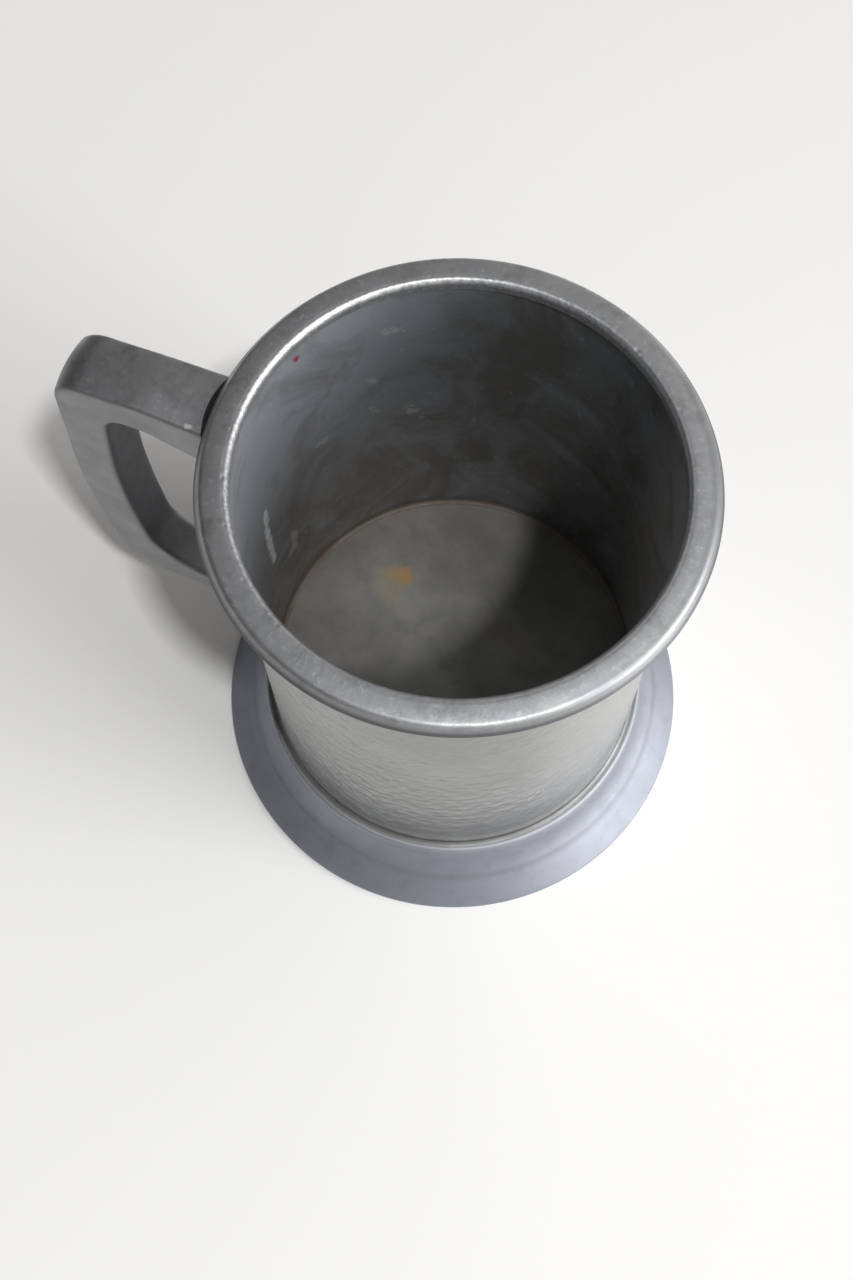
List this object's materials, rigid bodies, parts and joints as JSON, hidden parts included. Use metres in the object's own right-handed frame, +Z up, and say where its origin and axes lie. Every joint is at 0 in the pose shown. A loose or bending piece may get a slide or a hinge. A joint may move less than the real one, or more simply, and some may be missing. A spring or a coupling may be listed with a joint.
{
  "type": "pewter mug",
  "caption": "Straight-sided pewter drinking mug with a hammered wall, applied rim, flared foot and a square-shouldered cast handle.",
  "frame": {"origin": "middle of the bounding box's underside, on the table; the drum's own axis stands at x = +14.89 mm, y = 0", "axes": "+Z up along the drum's axis, -X towards the handle, +Y to the left of the handle's grip as the drinker holds it"},
  "size_m": [0.1448, 0.115, 0.1217],
  "materials": {
    "pewter_hammered": "satin",
    "pewter_floor": "matte",
    "pewter_rim": "satin",
    "pewter_foot": "satin",
    "pewter_handle": "satin",
    "solder": "satin"
  },
  "bodies": {
    "root": {"drum_wall": "pewter_hammered", "floor_disc": "pewter_floor", "rim_band": "pewter_rim", "foot_ring": "pewter_foot", "handle": "pewter_handle", "floor_solder": "solder", "foot_solder": "solder", "handle_solder_upper": "solder", "handle_solder_lower": "solder"}
  },
  "joints": []
}
